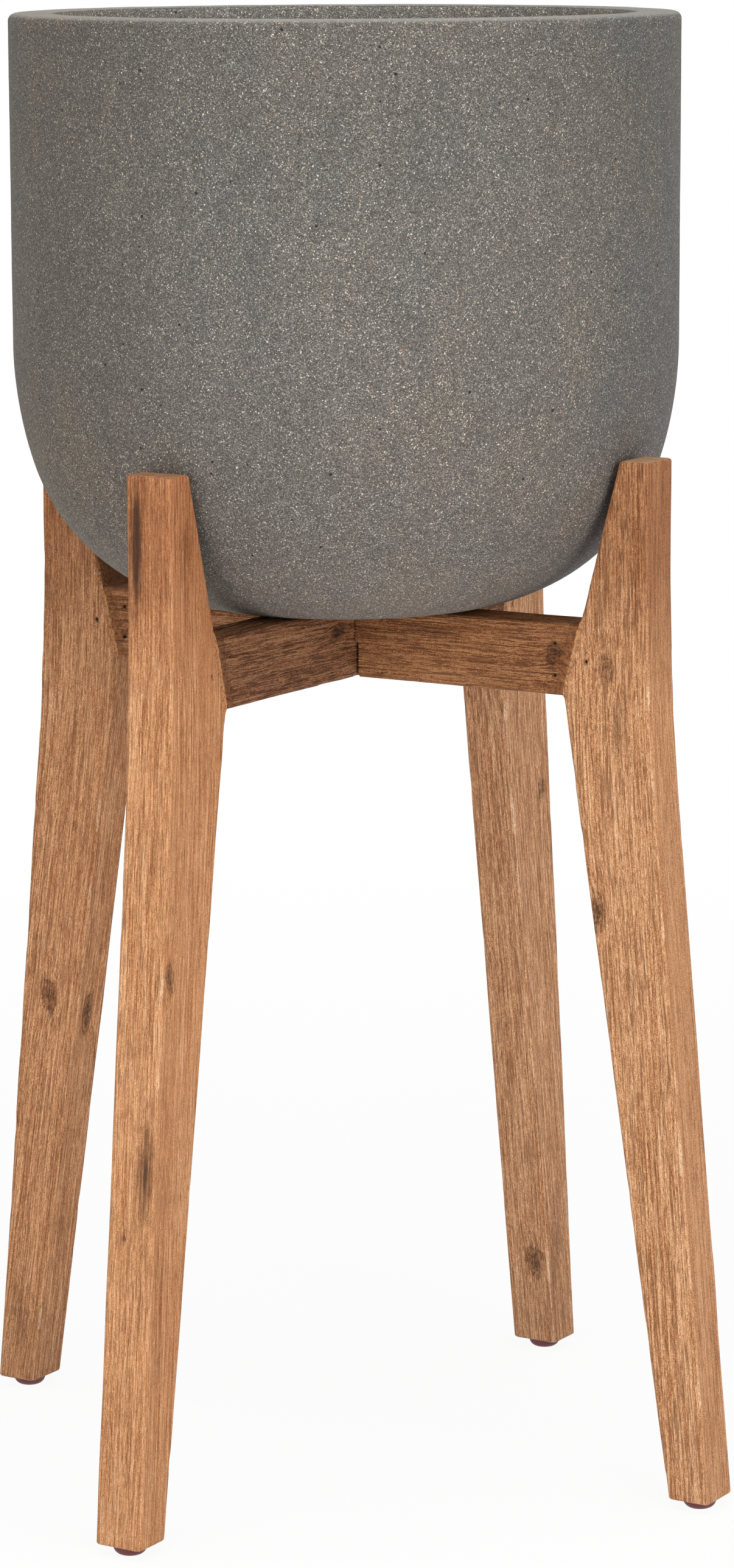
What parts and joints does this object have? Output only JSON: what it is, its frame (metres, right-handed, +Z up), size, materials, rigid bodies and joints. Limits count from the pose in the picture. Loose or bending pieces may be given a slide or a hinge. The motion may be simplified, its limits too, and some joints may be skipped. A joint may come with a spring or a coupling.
{
  "type": "plant stand",
  "caption": "Round-bottomed cast stone planter bowl cupped by a four-legged splayed wooden stand with half-lapped crossbars.",
  "frame": {"origin": "on the floor under the middle of the bowl", "axes": "+Z up; +X right and -Y front as seen when facing the gap between the two front legs; the legs stand on the diagonals"},
  "size_m": [0.38, 0.3798, 0.8403],
  "materials": {
    "cast_stone": "matte dark grey casting with fine pale aggregate specks",
    "acacia": "wire-brushed, warm brown, matte",
    "tenon_wood": "planed, plain",
    "glide_plastic": "moulded dark red plastic, satin",
    "steel": "bright drawn wire",
    "plug_rubber": "matte black"
  },
  "bodies": {
    "stand": {"leg_front_left": "acacia", "leg_front_right": "acacia", "leg_back_left": "acacia", "leg_back_right": "acacia", "crossbar_upper": "acacia", "crossbar_lower": "acacia", "tenon_front_left": "tenon_wood", "tenon_front_right": "tenon_wood", "tenon_back_left": "tenon_wood", "tenon_back_right": "tenon_wood", "brads_front_left": "steel", "brads_front_right": "steel", "brads_back_left": "steel", "brads_back_right": "steel", "glide_front_left": "glide_plastic", "glide_front_right": "glide_plastic", "glide_back_left": "glide_plastic", "glide_back_right": "glide_plastic", "nail_front_left": "steel", "nail_front_right": "steel", "nail_back_left": "steel", "nail_back_right": "steel"},
    "bowl": {"planter_bowl": "cast_stone"},
    "plug": {"drain_plug": "plug_rubber"}
  },
  "joints": [
    {"name": "bowl_lift", "type": "slide", "parent": "stand", "child": "bowl", "axis": [0, 0, 1], "range_m": [0, 0.12]},
    {"name": "plug_lift", "type": "slide", "parent": "bowl", "child": "plug", "axis": [0, 0, 1], "range_m": [0, 0.36]}
  ]
}
